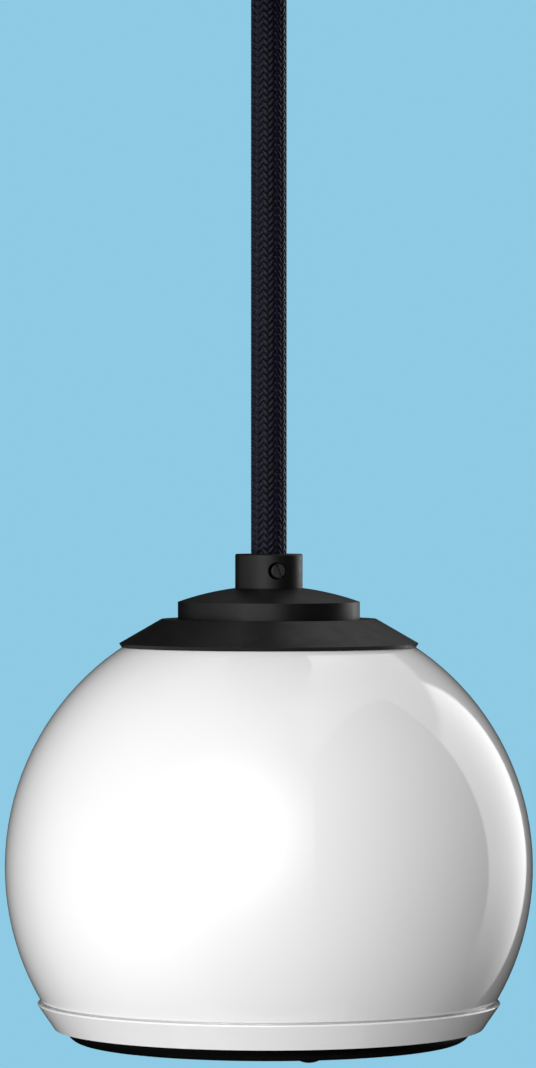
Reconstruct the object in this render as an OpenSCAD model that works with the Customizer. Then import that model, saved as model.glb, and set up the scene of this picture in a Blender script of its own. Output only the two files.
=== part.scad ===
// Pendant speaker: a gloss white ball with a driver that fires down through a black grille,
// hung by a textile cord from a small ceiling cup. All sizes are in millimetres.
// The origin is the middle of the ceiling bracket's top face, and everything hangs below it.

/* [Ball] */
// Outside diameter of the ball
ball_d = 102; // [98:1:130]
// Thickness of the ball's wall
ball_wall = 3; // [2.5:0.5:3.5]
// Diameter of the hole in the top of the ball
ball_hole_d = 42; // [36:1:44]
// Thickness of the flange inside the ball's mouth
mouth_flange_t = 3; // [2:0.5:4]
// Height of the four screw bosses above the mouth flange
boss_h = 6; // [4:0.5:9]
// Diameter of the screw bosses
boss_d = 7; // [6:0.5:8]

/* [Collar and cap] */
// Diameter of the collar's flat top
collar_top_d = 41.6; // [40:0.1:46]
// Diameter of the collar where it is widest
collar_foot_d = 57.9; // [54:0.1:64]
// Height of the collar above its seat on the ball
collar_h = 5.5; // [4.8:0.1:7]
// Height of the collar's inward slanting rim
collar_rim_h = 0.8; // [0.4:0.1:1.2]
// Thickness of the plate that closes the ball's hole
collar_plate_t = 3; // [2:0.1:4]
// Diameter of the cap
cap_d = 35.2; // [30:0.1:38]
// Height of the cap's straight side
cap_side_h = 3.3; // [2.5:0.1:5]
// Radius of the cap's domed top
cap_dome_r = 52; // [40:1:80]
// Thickness of the cap's roof
cap_roof_t = 2; // [1.6:0.1:2.4]

/* [Cord and its grips] */
// Diameter of the textile cord
cord_d = 7; // [6:0.1:7.4]
// Length of cord that shows between the two grips
cord_drop = 111; // [90:1:400]
// Outside diameter of a cord grip
grip_d = 13.05; // [12.6:0.05:16]
// Overall height of a cord grip
grip_h = 9.6; // [9:0.1:14]
// Diameter of the grip's set screw
grip_screw_d = 3; // [2.5:0.1:3.4]
// Angle of the set screw to the right of the front
grip_screw_turn = 17.3; // [-90:0.1:90]
// Lean of the set screw's slot from upright
grip_slot_lean = 20; // [0:1:90]
// Outside diameter of the threaded tubes
tube_d = 10; // [9.4:0.1:11]
// Bore of the threaded tubes
tube_bore_d = 7.8; // [7.6:0.1:8.2]
// Length of the threaded tube in the ball
ball_tube_l = 22; // [20:0.5:26]
// Length of the threaded tube in the ceiling cup
cup_tube_l = 13.5; // [12:0.5:14]
// Width across the flats of the tube nuts
nut_w = 14; // [13:0.5:17]
// Height of the tube nuts
nut_h = 3; // [2:0.5:4]
// Diameter of the clamp plate inside the ball
clamp_plate_d = 50; // [48:1:56]
// Thickness of the clamp plate
clamp_plate_t = 1.5; // [1:0.1:2.5]
// Thickness of the washer on the clamp plate
washer_t = 1.2; // [0.8:0.1:2]
// Diameter of the washer
washer_d = 20; // [18:0.5:24]
// Diameter of the cord stop inside the ball
stop_d = 15; // [13:0.5:18]
// Height of the cord stop
stop_h = 8; // [6:0.5:9]

/* [Trim ring and grille] */
// Width of the trim ring at the ball's mouth
ring_w = 4.65; // [4:0.05:5.2]
// Width of the ring's flat lower edge
ring_land = 2.05; // [1.6:0.05:3.6]
// Height of the ring below the ball's mouth
ring_h = 5.4; // [4:0.1:7]
// How far the ring's lip stands out past the ball's mouth
lip_out = 0.65; // [0.3:0.05:1.2]
// Height of the shadow groove between ball and lip
groove_h = 0.4; // [0.2:0.05:0.6]
// How far the ring's spigot goes up inside the ball
spigot_h = 1.5; // [1:0.1:3]
// How far the ring's ledge lies below the ball's mouth
ledge_drop = 1; // [0.5:0.1:1.6]
// Wall of the perforated grille
grille_t = 0.8; // [0.5:0.05:1]
// How far the grille stands out below the trim ring
grille_out = 2.55; // [2:0.05:5]
// Radius of the grille's rounded edge
grille_edge_r = 3; // [1.4:0.1:3]
// Width across the flats of a hexagonal grille hole
hole_w = 3.6; // [2.5:0.1:3.8]
// Spacing of the grille holes
hole_pitch = 4.7; // [4.4:0.1:6]
// Width of the plain border round the grille holes
grille_border = 2.7; // [2.6:0.1:8]
// Diameter of the small round stud on the grille
stud_d = 5.4; // [4:0.1:7]
// Height of the stud's dome
stud_h = 0.9; // [0.5:0.1:1.6]

/* [Driver] */
// Outside diameter of the driver's frame
driver_d = 76; // [70:1:84]
// Width of the frame's mounting rim
driver_rim = 5.5; // [5.2:0.1:6.4]
// Thickness of the pressed steel frame
basket_t = 1; // [0.8:0.1:1.2]
// Height of the frame's conical wall
basket_wall_h = 14.4; // [13:0.1:17]
// Height of the frame's neck above the spider ledge
basket_neck_h = 5.6; // [4.5:0.1:7]
// Width of one window in the frame's wall
window_w = 26; // [16:1:28]
// Thickness of the foam gasket behind the frame
gasket_t = 0.6; // [0.4:0.1:1]
// Width of the half roll of the surround
roll_w = 5.2; // [4:0.1:5.6]
// Thickness of the rubber surround
surround_t = 0.5; // [0.3:0.05:0.6]
// Width of the glued lips of the surround
lip_w = 1.4; // [1:0.1:1.8]
// Depth of the paper cone
cone_h = 10.3; // [8:0.1:11]
// Thickness of the paper cone
cone_t = 0.5; // [0.4:0.05:0.8]
// Diameter of the dust cap
dust_cap_d = 25; // [22:0.5:30]
// Height of the dust cap's dome
dust_cap_h = 4; // [2:0.1:5]
// Inside diameter of the voice coil's former
former_bore_d = 19; // [17:0.1:20]
// Wall of the former
former_t = 0.25; // [0.15:0.05:0.3]
// Height of the voice coil's winding
coil_h = 7; // [5:0.5:9]
// Thickness of the voice coil's winding
coil_t = 0.4; // [0.3:0.05:0.5]
// Outside diameter of the spider
spider_d = 45; // [43:0.5:45.5]
// Height of the spider's waves
spider_wave = 0.8; // [0.4:0.1:1]
// Number of waves across the spider
spider_waves = 5; // [3:1:6]
// Thickness of the spider's cloth
spider_t = 0.4; // [0.3:0.05:0.6]
// Thickness of the steel plates of the magnet
plate_t = 4; // [3:0.5:5]
// How far the front steel plate stands out past the frame's neck
front_plate_rim = 4; // [3:0.5:7]
// Outside diameter of the magnet
magnet_d = 56; // [52:1:60]
// Bore of the magnet
magnet_bore_d = 30; // [26:1:36]
// Height of the magnet
magnet_h = 10; // [8:0.5:11]
// Diameter of the steel back plate
back_plate_d = 52; // [48:1:56]
// Bore of the vent through the pole
vent_d = 6; // [4:0.5:8]
// Thickness of the felt lining in the ball
wadding_t = 5; // [3:0.5:7]

/* [Ceiling cup] */
// Outside diameter of the ceiling cup
cup_d = 80; // [74:1:110]
// Height of the ceiling cup
cup_h = 24.5; // [22:0.5:40]
// Wall of the ceiling cup
cup_wall = 2; // [1.5:0.1:3]
// Gap between the cup and the ceiling
cup_gap = 0.5; // [0.2:0.1:1]
// Width of the ceiling bracket
bracket_w = 12; // [10:0.5:13]
// Thickness of the ceiling bracket
bracket_t = 1.5; // [1:0.1:2]
// Length of the bracket's bent ends
bracket_tab_h = 11; // [10:0.5:14]
// Spacing of the two ceiling screw holes
ceiling_hole_pitch = 50; // [46:1:52]
// Diameter of the ceiling screw holes
ceiling_hole_d = 4.5; // [4:0.1:5.5]
// Length of the terminal block
block_l = 20; // [17:1:28]
// Height of the terminal block
block_h = 9; // [7:0.5:9.5]

/* [Hidden] */
$fn = 96;
big = 400;

// Clearances of the fits
slide_fit = 0.15;
press_gap = 0.05;
seat_gap = 0.1;
thread_gap = 0.05;
screw_gap = 0.1;
coil_gap = 0.3;

// Small screws
screw_d = 2.4;
screw_head_d = 5.6;
screw_head_h = 1.8;
screw_slot_w = 0.7;
screw_slot_h = 0.8;
driver_screw_l = 9.5;
driver_screws = 4;

// Heights round the ball, counted from its middle
ball_r = ball_d / 2;
inner_r = ball_r - ball_wall;
function sphere_z(r, radius = ball_r) = sqrt(radius * radius - r * r);
collar_seat_r = collar_foot_d / 2 - 0.5;
collar_seat_z = sphere_z(collar_seat_r);
collar_top_z = collar_seat_z + collar_h;
collar_plate_z = collar_top_z - collar_plate_t;
cap_side_z = collar_top_z + cap_side_h;
cap_dome_z = cap_side_z - sphere_z(cap_d / 2, cap_dome_r);
grip_sunk = 3;
grip_foot_z = cap_dome_z + sphere_z(grip_d / 2, cap_dome_r) - grip_sunk;
grip_top_z = grip_foot_z + grip_h;
grip_thread_h = 4.5;
grip_screw_z = 3.2;
grip_screw_chamfer = 0.25;
grip_slot_w = 0.5;
grip_slot_depth = 0.7;
grip_edge = 0.3;
ball_tube_top = grip_foot_z + grip_thread_h - seat_gap;
ball_tube_z = ball_tube_top - ball_tube_l;
clamp_top_z = sphere_z(clamp_plate_d / 2, inner_r) - seat_gap;
clamp_z = clamp_top_z - clamp_plate_t;
washer_z = clamp_z - washer_t;
tube_nut_z = washer_z - nut_h;
stop_z = ball_tube_z - stop_h;
cord_end_z = stop_z - 2;

// Radii and heights at the mouth of the ball
driver_r = driver_d / 2;
frame_gap = 0.45;
grille_in_r = driver_r + frame_gap;
grille_r = grille_in_r + grille_t;
recess_r = grille_r + slide_fit;
mouth_r = recess_r + ring_w;
mouth_z = -sphere_z(mouth_r);
groove_in_r = mouth_r - 0.9;
lip_r = mouth_r + lip_out;
lip_round = 0.3;
ring_foot_r = recess_r + ring_land;
ring_foot_z = mouth_z - ring_h;
spigot_r = sqrt(inner_r * inner_r - mouth_z * mouth_z) - slide_fit;
ledge_top_z = mouth_z + spigot_h;
ledge_z = mouth_z - ledge_drop;
cut_r = driver_r - driver_rim;
face_z = ledge_z - gasket_t - basket_t;
grille_foot_z = ring_foot_z - grille_out;
screw_circle_r = driver_r - 3;

// Radii and heights of the driver, counted up from the front face of its frame
roll_r = roll_w / 2;
lip_out_r = cut_r - 0.5;
roll_mid_r = lip_out_r - lip_w - roll_r;
cone_r = roll_mid_r - roll_r;
former_r = former_bore_d / 2 + former_t;
coil_in_r = former_r + press_gap;
coil_r = coil_in_r + coil_t;
gap_r = coil_r + coil_gap;
pole_r = former_bore_d / 2 - coil_gap;
basket_in_r = roll_mid_r + roll_r + 0.4;
spider_r = spider_d / 2;
spider_lip = 1.8;
ledge_r = spider_r + 0.5;
neck_r = spider_r - spider_lip + 0.3;
front_plate_d = 2 * (neck_r + front_plate_rim);
spider_top = basket_wall_h;
basket_top = basket_wall_h + basket_neck_h;
front_plate_top = basket_top + plate_t;
magnet_top = front_plate_top + magnet_h;
back_plate_top = magnet_top + plate_t;
coil_z = basket_top + plate_t / 2 - coil_h / 2;
former_z = cone_h - 0.4;
cone_slope = cone_h / (cone_r - lip_w - former_r);
cone_rise = cone_t * sqrt(1 + cone_slope * cone_slope);
function cone_front(r) = (cone_r - lip_w - r) * cone_slope;
function cone_back(r) = cone_front(r) + cone_rise;
dust_cap_r = dust_cap_d / 2;
dust_cap_t = 0.4;
dust_ball_r = (dust_cap_r * dust_cap_r + dust_cap_h * dust_cap_h) / (2 * dust_cap_h);

// Terminal strip on the driver's frame
terminal_turn = 45;
strip_x = 30;
strip_t = 1.2;
strip_w = 14;
strip_z = 5.5;
strip_h = 7;
tab_gap = 7;
tab_w = 2.8;
tab_t = 0.5;
tab_z = 7;
tab_h = 9;
lead_d = 1.8;
tinsel_d = 0.8;
tinsel_hole_d = 1.8;
tinsel_z = 9;

// Heights below the ceiling
cup_r = cup_d / 2;
cup_in_r = cup_r - cup_wall;
cup_foot_z = -(cup_gap + cup_h);
cup_floor_t = 2.5;
cup_floor_z = cup_foot_z + cup_floor_t;
cup_grip_z = cup_foot_z - grip_h;
cup_tube_z = cup_foot_z - grip_thread_h + seat_gap;
cup_tube_top = cup_tube_z + cup_tube_l;
side_screw_z = -8;
side_screw_l = 6;
tab_face_x = sqrt(cup_in_r * cup_in_r - bracket_w * bracket_w / 4) - 0.2;
block_w = 10;
block_z = -bracket_t - block_h;
cup_cord_end_z = cup_tube_top + 1;
ball_drop = grip_top_z + cord_drop - cup_grip_z;

// Routes of the leads: hand picked points in the plane of the terminal strip. The upper points of
// the inner leads are counted from the cord's end, and all the others from the face of the frame
inner_upper = [[0, 1.6, -0.7], [2, 1.8, -4.2], [9, 2.2, -7.7], [20, 2.8, -8.7]];
inner_lower = [[29, 3.3, 39.3], [33.5, 3.5, 32.3], [34, 3.5, 24.3], [33, 3.5, 18.3], [32.7, 3.5, 14.3]];
inner_route = concat([for (p = inner_upper) p + [0, 0, cord_end_z]],
    [for (p = inner_lower) p + [0, 0, face_z]]);
tinsel_route = [[31.1, 3.5, 9], [29, 3.5, 9], [26, 3.5, 8.6], [22, 3.5, 7], [19, 3.5, 5.6]];

// Vector of unit length
function unit(v) = v / norm(v);

// Direction of a route at one of its points
function heading(route, i) =
    unit(route[min(i + 1, len(route) - 1)] - route[max(i - 1, 0)]);

// Points between two of a route's points, on a smooth curve through all of them
function curve_point(a, b, c, d, t) =
    0.5 * (2 * b + (c - a) * t + (2 * a - 5 * b + 4 * c - d) * t * t
    + (3 * b - a - 3 * c + d) * t * t * t);
function smooth(route, steps) = [
    for (i = [0 : len(route) - 2], s = [0 : steps - 1])
        curve_point(route[max(i - 1, 0)], route[i], route[i + 1],
            route[min(i + 2, len(route) - 1)], s / steps),
    route[len(route) - 1]
];

// Round cord swept along a route, with its rings square to the route
module sweep(route, d, sides, flank = [0, 1, 0]) {
    rings = len(route);
    points = [
        for (i = [0 : rings - 1], k = [0 : sides - 1])
            let (t = heading(route, i), u = unit(flank - (flank * t) * t), v = cross(t, u))
            route[i] + d / 2 * (cos(360 * k / sides) * u + sin(360 * k / sides) * v)
    ];
    walls = [
        for (i = [0 : rings - 2], k = [0 : sides - 1])
            let (a = i * sides, b = a + sides, n = (k + 1) % sides)
            each [[a + k, b + k, a + n], [a + n, b + k, b + n]]
    ];
    foot = [for (k = [0 : sides - 1]) k];
    head = [for (k = [sides - 1 : -1 : 0]) (rings - 1) * sides + k];
    polyhedron(points = points, faces = concat(walls, [foot, head]));
}

// Straight tube standing on a height
module tube(r, bore, z, h) {
    translate([0, 0, z])
        difference() {
            cylinder(r = r, h = h);
            translate([0, 0, -1]) cylinder(r = bore, h = h + 2);
        }
}

// Everything that hangs at the ball, placed below the ceiling
module at_ball() {
    translate([0, 0, -ball_drop]) children();
}

// The driver's own place: the front face of its frame
module at_driver() {
    at_ball() translate([0, 0, face_z]) children();
}

// Four places on the circle of the driver's screws
module round_driver() {
    for (i = [0 : driver_screws - 1])
        rotate([0, 0, i * 360 / driver_screws])
            translate([screw_circle_r, 0, 0])
                children();
}

// Pan head screw, head at the bottom and shank upwards
module pan_screw(length) {
    difference() {
        union() {
            cylinder(d = screw_d, h = length);
            translate([0, 0, -screw_head_h]) cylinder(d = screw_head_d, h = screw_head_h);
        }
        for (turn = [0, 90])
            rotate([0, 0, turn])
                translate([-screw_head_d * 0.32, -screw_slot_w / 2, -screw_head_h - 1])
                    cube([screw_head_d * 0.64, screw_slot_w, screw_slot_h + 1]);
    }
}

// Cord grip: a turned collar, threaded inside at its foot, with a cross hole for its set screw
module grip_body() {
    difference() {
        rotate_extrude()
            difference() {
                translate([cord_d / 2 + 0.25, 0]) square([(grip_d - cord_d) / 2 - 0.25, grip_h]);
                translate([0, -1]) square([tube_d / 2 + thread_gap, grip_thread_h + 1]);
                translate([grip_d / 2, grip_h]) rotate(45) square(grip_edge, center = true);
            }
        translate([0, 0, grip_h - grip_screw_z])
            rotate([90, 0, grip_screw_turn])
                cylinder(d = grip_screw_d + 2 * thread_gap, h = grip_d);
    }
}

// Set screw of a grip, with a chamfer and a slot in its outer end
module set_screw() {
    length = (grip_d - cord_d) / 2 - 0.45;
    translate([0, 0, grip_h - grip_screw_z])
        rotate([90, 0, grip_screw_turn])
            translate([0, 0, cord_d / 2 + 0.3])
                difference() {
                    union() {
                        cylinder(d = grip_screw_d, h = length - grip_screw_chamfer);
                        translate([0, 0, length - grip_screw_chamfer])
                            cylinder(d1 = grip_screw_d, d2 = grip_screw_d - 2 * grip_screw_chamfer,
                                h = grip_screw_chamfer);
                    }
                    translate([0, 0, length])
                        rotate([0, 0, grip_slot_lean])
                            cube([grip_slot_w, grip_screw_d * 2, 2 * grip_slot_depth], center = true);
                }
}

// Hexagon nut on a threaded tube
module tube_nut_body() {
    difference() {
        cylinder(d = nut_w / cos(30), h = nut_h, $fn = 6);
        translate([0, 0, -1]) cylinder(d = tube_d + 2 * thread_gap, h = nut_h + 2);
    }
}

// The ball: a hollow sphere, open at its top and mouth, with a flange and screw bosses inside
module ball_shell() {
    color("white") at_ball() difference() {
        union() {
            rotate_extrude() {
                difference() {
                    circle(r = ball_r);
                    circle(r = inner_r);
                    translate([-big, -big]) square([big, 2 * big]);
                    translate([0, mouth_z - big]) square([big, big]);
                    square([ball_hole_d / 2, big]);
                }
                intersection() {
                    circle(r = ball_r - ball_wall / 2);
                    translate([cut_r, ledge_top_z]) square([big, mouth_flange_t]);
                }
            }
            round_driver()
                translate([0, 0, ledge_top_z]) cylinder(d = boss_d, h = mouth_flange_t + boss_h);
        }
        round_driver()
            translate([0, 0, ledge_top_z - 1])
                cylinder(d = screw_d + 2 * thread_gap, h = mouth_flange_t + boss_h);
    }
}

// Conical collar that closes the ball's hole and sits on the ball
module collar() {
    color([0.13, 0.13, 0.14]) at_ball() rotate_extrude() {
        plate_r = ball_hole_d / 2 - slide_fit;
        difference() {
            polygon([[tube_d / 2 + screw_gap, collar_top_z],
                [collar_top_d / 2, collar_top_z],
                [collar_foot_d / 2, collar_seat_z + collar_rim_h],
                [collar_seat_r, collar_seat_z],
                [plate_r, collar_seat_z],
                [plate_r, collar_plate_z],
                [tube_d / 2 + screw_gap, collar_plate_z]]);
            intersection() {
                circle(r = ball_r + seat_gap);
                translate([plate_r, 0]) square([big, big]);
            }
        }
    }
}

// Domed cap on the collar, recessed for the foot of the cord grip
module cap() {
    color([0.12, 0.12, 0.13]) at_ball() rotate_extrude()
        difference() {
            intersection() {
                translate([0, cap_dome_z]) circle(r = cap_dome_r);
                translate([tube_d / 2 + screw_gap, collar_top_z])
                    square([cap_d / 2 - tube_d / 2 - screw_gap, big]);
            }
            translate([0, grip_foot_z]) square([grip_d / 2 + seat_gap, big]);
            translate([grip_d / 2 + 2, collar_top_z - 1])
                square([cap_d / 2 - grip_d / 2 - 4, cap_side_h + 1 - cap_roof_t]);
        }
}

// Cord grip above the ball
module cord_grip() {
    color([0.12, 0.12, 0.13]) at_ball() translate([0, 0, grip_foot_z]) grip_body();
}

// Set screw of the grip above the ball
module grip_screw() {
    color([0.2, 0.2, 0.2]) at_ball() translate([0, 0, grip_foot_z]) set_screw();
}

// Threaded tube that carries the ball and lets the cord through
module threaded_tube() {
    color("gainsboro") at_ball() tube(tube_d / 2, tube_bore_d / 2, ball_tube_z, ball_tube_l);
}

// Round plate that clamps the ball against the collar from inside
module clamp_plate() {
    color("silver") at_ball() rotate_extrude()
        intersection() {
            circle(r = inner_r - seat_gap);
            translate([tube_d / 2 + screw_gap, clamp_z])
                square([clamp_plate_d / 2 - tube_d / 2 - screw_gap, clamp_plate_t]);
        }
}

// Washer under the clamp plate
module tube_washer() {
    color("gainsboro") at_ball() tube(washer_d / 2, tube_d / 2 + screw_gap, washer_z, washer_t);
}

// Nut that pulls the clamp plate up
module tube_nut() {
    color("silver") at_ball() translate([0, 0, tube_nut_z]) tube_nut_body();
}

// Split stop clamped on the cord, which keeps the ball's weight off the leads
module cord_stop() {
    color("ivory") at_ball() difference() {
        tube(stop_d / 2, cord_d / 2 + seat_gap, stop_z, stop_h);
        translate([0, 0, stop_z + stop_h / 2])
            rotate([0, 90, 0])
                cylinder(d = screw_d + 2 * thread_gap, h = stop_d);
    }
}

// Grub screw of the cord stop
module cord_stop_screw() {
    color("silver") at_ball() translate([0, 0, stop_z + stop_h / 2]) rotate([0, 90, 0])
        translate([0, 0, cord_d / 2 + 2 * seat_gap])
            difference() {
                cylinder(d = screw_d, h = (stop_d - cord_d) / 2);
                translate([0, 0, (stop_d - cord_d) / 2])
                    cube([screw_slot_w, screw_d * 2, screw_slot_h * 2], center = true);
            }
}

// Soft felt lining of the ball's upper half
module wadding() {
    color("whitesmoke") at_ball() rotate_extrude()
        intersection() {
            difference() {
                circle(r = inner_r - seat_gap);
                circle(r = inner_r - seat_gap - wadding_t);
            }
            translate([0, 4]) square([big, clamp_z - 6]);
        }
}

// White ring round the grille: a spigot in the ball's mouth, a ledge for the driver and a lip
module trim_ring() {
    color("white") at_ball() difference() {
        rotate_extrude()
            polygon([[cut_r, ledge_top_z],
                [cut_r, ledge_z],
                [recess_r, ledge_z],
                [recess_r, ring_foot_z],
                [ring_foot_r, ring_foot_z],
                for (turn = [0 : 18 : 90])
                    [lip_r - lip_round * (1 - cos(turn)), mouth_z - groove_h - lip_round * (1 - sin(turn))],
                [groove_in_r, mouth_z - groove_h],
                [groove_in_r, mouth_z],
                [spigot_r, mouth_z],
                [spigot_r, ledge_top_z]]);
        round_driver()
            translate([0, 0, ledge_z - 1]) cylinder(d = screw_d + 0.8, h = ledge_top_z - ledge_z + 2);
    }
}

// Profile of a dished disc with a rounded edge, dish downwards
module dish(r, edge, z) {
    translate([0, z]) square([r - edge, big]);
    translate([0, z + edge]) square([r, big]);
    translate([r - edge, z + edge]) circle(r = edge);
}

// Hexagonal holes of the grille, in a triangular grid, clear of the stud and of the border
module grille_holes() {
    field_r = grille_r - grille_edge_r - grille_border + hole_w / 2;
    reach = ceil(field_r / hole_pitch) + 2;
    places = [
        for (row = [-reach : reach], col = [-reach : reach])
            let (p = [(col + row / 2) * hole_pitch, row * hole_pitch * sin(60)])
            if (norm(p) + hole_w / 2 < field_r && norm(p - [stud_x, stud_y]) > (stud_d + hole_w) / 2) p
    ];
    corner = hole_w / 2 / cos(30);
    polygon(points = [for (p = places, k = [0 : 5]) p + corner * [cos(60 * k + 30), sin(60 * k + 30)]],
        paths = [for (i = [0 : len(places) - 1]) [for (k = [0 : 5]) 6 * i + k]]);
}
stud_x = 7.5;
stud_margin = 2.7;
stud_y = -(grille_r - grille_edge_r - stud_d / 2 - stud_margin);
stud_pin_d = 2;

// Black perforated grille, a shallow cup pressed into the trim ring
module grille() {
    color([0.05, 0.05, 0.05]) at_ball() difference() {
        rotate_extrude()
            difference() {
                intersection() {
                    dish(grille_r, grille_edge_r, grille_foot_z);
                    translate([0, grille_foot_z]) square([big, ledge_z - grille_foot_z]);
                }
                dish(grille_in_r, grille_edge_r - grille_t, grille_foot_z + grille_t);
            }
        translate([0, 0, grille_foot_z - 1])
            linear_extrude(height = grille_t + 2)
                grille_holes();
        translate([stud_x, stud_y, grille_foot_z - 1])
            cylinder(d = stud_pin_d + 2 * press_gap, h = grille_t + 2);
    }
}

// Plain domed stud on the grille, with a pin through it
module grille_stud() {
    color([0.05, 0.05, 0.05]) at_ball() translate([stud_x, stud_y, grille_foot_z]) {
        dome_r = (stud_d * stud_d / 4 + stud_h * stud_h) / (2 * stud_h);
        rotate_extrude()
            intersection() {
                translate([0, dome_r - stud_h]) circle(r = dome_r);
                translate([0, -stud_h]) square([stud_d / 2, stud_h]);
            }
        cylinder(d = stud_pin_d, h = grille_t + 0.4);
    }
}

// Foam ring between the driver's frame and the trim ring
module frame_gasket() {
    color([0.2, 0.2, 0.2]) at_ball() difference() {
        tube(driver_r, cut_r, ledge_z - gasket_t, gasket_t);
        round_driver()
            translate([0, 0, ledge_z - gasket_t - 1]) cylinder(d = screw_d + 0.8, h = gasket_t + 2);
    }
}

// Screws that hold the driver and the trim ring to the ball
module driver_screw_set() {
    color("silver") at_driver() round_driver() pan_screw(driver_screw_l);
}

// Pressed steel frame of the driver: rim, conical wall with windows, spider ledge and neck
module driver_basket() {
    color([0.18, 0.18, 0.19]) at_driver() difference() {
        union() {
            rotate_extrude()
                polygon([[basket_in_r, 0], [driver_r, 0], [driver_r, basket_t],
                    [basket_in_r + 1.1 * basket_t, basket_t],
                    [ledge_r + 1.2 * basket_t, basket_wall_h],
                    [ledge_r + 1.2 * basket_t, basket_wall_h + basket_t],
                    [neck_r + basket_t, basket_wall_h + basket_t],
                    [neck_r + basket_t, basket_top - basket_t],
                    [front_plate_d / 2 - 1, basket_top - basket_t],
                    [front_plate_d / 2 - 1, basket_top],
                    [gap_r + 2, basket_top],
                    [gap_r + 2, basket_top - basket_t],
                    [neck_r, basket_top - basket_t],
                    [neck_r, basket_wall_h],
                    [ledge_r, basket_wall_h]]);
            terminal_seat();
        }
        for (turn = [0 : 90 : 270])
            rotate([90, 0, turn + 90])
                linear_extrude(height = driver_r)
                    window_outline();
        round_driver()
            translate([0, 0, -1]) cylinder(d = screw_d + 0.8, h = basket_t + 2);
        rotate([0, 0, terminal_turn])
            for (y = [-tab_gap / 2, tab_gap / 2])
                translate([neck_r, y, tinsel_z])
                    rotate([0, 90, 0])
                        cylinder(d = tinsel_hole_d, h = driver_r - neck_r);
    }
}

// Outline of one window: a slot with round corners, seen along the radius
module window_outline() {
    low = basket_t + 1.5;
    high = basket_wall_h - 2;
    corner = 2;
    translate([-window_w / 2 + corner, low]) square([window_w - 2 * corner, high - low]);
    translate([-window_w / 2, low + corner]) square([window_w, high - low - 2 * corner]);
    for (x = [-1, 1], y = [low + corner, high - corner])
        translate([x * (window_w / 2 - corner), y]) circle(r = corner);
}

// Flat seat of the terminal strip, pressed out of the frame's wall
module terminal_seat() {
    slope = (basket_in_r - ledge_r) / basket_wall_h;
    low_x = basket_in_r - slope * strip_z + 0.1;
    high_x = basket_in_r - slope * (strip_z + strip_h) + 0.1;
    rotate([0, 0, terminal_turn])
        rotate([90, 0, 0])
            linear_extrude(height = strip_w - 2, center = true)
                polygon([[low_x, strip_z], [strip_x, strip_z], [strip_x, strip_z + strip_h],
                    [high_x, strip_z + strip_h]]);
}

// Insulating strip that carries the two solder tabs
module terminal_strip() {
    color("saddlebrown") at_driver() rotate([0, 0, terminal_turn]) difference() {
        translate([strip_x, -strip_w / 2, strip_z]) cube([strip_t, strip_w, strip_h]);
        for (y = [-tab_gap / 2, tab_gap / 2])
            translate([strip_x - 1, y, tinsel_z])
                rotate([0, 90, 0])
                    cylinder(d = tinsel_hole_d, h = strip_t + 2);
    }
}

// The two solder tabs
module terminal_tabs() {
    color("goldenrod") at_driver() rotate([0, 0, terminal_turn])
        for (y = [-tab_gap / 2, tab_gap / 2])
            difference() {
                translate([strip_x + strip_t, y - tab_w / 2, tab_z]) cube([tab_t, tab_w, tab_h]);
                translate([strip_x, y, tab_z + tab_h - 1.5])
                    rotate([0, 90, 0])
                        cylinder(d = 1.2, h = strip_t + tab_t + 1);
            }
}

// Flexible leads from the tabs to the cone
module tinsel_leads() {
    color("peru") at_driver() rotate([0, 0, terminal_turn])
        for (side = [-1, 1])
            sweep(smooth([for (p = tinsel_route) [p.x, side * p.y, p.z]], 3), tinsel_d, 8);
}

// Front steel plate of the magnet
module front_plate() {
    color("silver") at_driver() tube(front_plate_d / 2, gap_r, basket_top, plate_t);
}

// Ring magnet
module magnet() {
    color([0.24, 0.24, 0.25]) at_driver()
        tube(magnet_d / 2, magnet_bore_d / 2, front_plate_top, magnet_h);
}

// Back plate with the vented pole that reaches into the coil
module back_plate() {
    color("silver") at_driver() difference() {
        union() {
            translate([0, 0, magnet_top]) cylinder(d = back_plate_d, h = plate_t);
            translate([0, 0, basket_top]) cylinder(r = pole_r, h = back_plate_top - basket_top - 1);
        }
        translate([0, 0, basket_top - 1]) cylinder(d = vent_d, h = back_plate_top);
    }
}

// Thin tube that carries the voice coil
module coil_former() {
    color("tan") at_driver()
        tube(former_r, former_bore_d / 2, former_z, coil_z + coil_h + 0.2 - former_z);
}

// Copper winding in the magnet's gap
module voice_coil() {
    color("chocolate") at_driver() tube(coil_r, coil_in_r, coil_z, coil_h);
}

// Waved cloth disc that centres the coil
module spider() {
    inner = former_r + 0.25;
    outer = spider_r - spider_lip;
    steps = spider_waves * 8;
    mid = spider_top - spider_t / 2;
    wave = [
        for (i = [0 : steps])
            [inner + (outer - inner) * i / steps, mid - spider_wave * sin(360 * spider_waves * i / steps)]
    ];
    half = [0, spider_t / 2];
    color("darkkhaki") at_driver() rotate_extrude()
        polygon(concat([for (p = wave) p + half], [[spider_r, mid] + half, [spider_r, mid] - half],
            [for (i = [steps : -1 : 0]) wave[i] - half]));
}

// Paper cone with a flat edge for the surround
module cone() {
    color([0.1, 0.1, 0.1]) at_driver() rotate_extrude()
        polygon([[cone_r, 0], [cone_r, cone_t], [cone_r - lip_w + 0.2, cone_t],
            [former_r + press_gap, cone_back(former_r + press_gap)],
            [former_r + press_gap, cone_front(former_r + press_gap)],
            [cone_r - lip_w, 0]]);
}

// Domed cap that closes the middle of the cone
module dust_cap() {
    rim_z = cone_front(dust_cap_r) - press_gap;
    color([0.08, 0.08, 0.08]) at_driver() rotate_extrude()
        intersection() {
            difference() {
                translate([0, rim_z - dust_cap_h + dust_ball_r]) circle(r = dust_ball_r);
                translate([0, rim_z - dust_cap_h + dust_ball_r]) circle(r = dust_ball_r - dust_cap_t);
            }
            translate([0, rim_z - dust_cap_h - 1]) square([dust_cap_r, dust_cap_h + 1]);
        }
}

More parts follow.
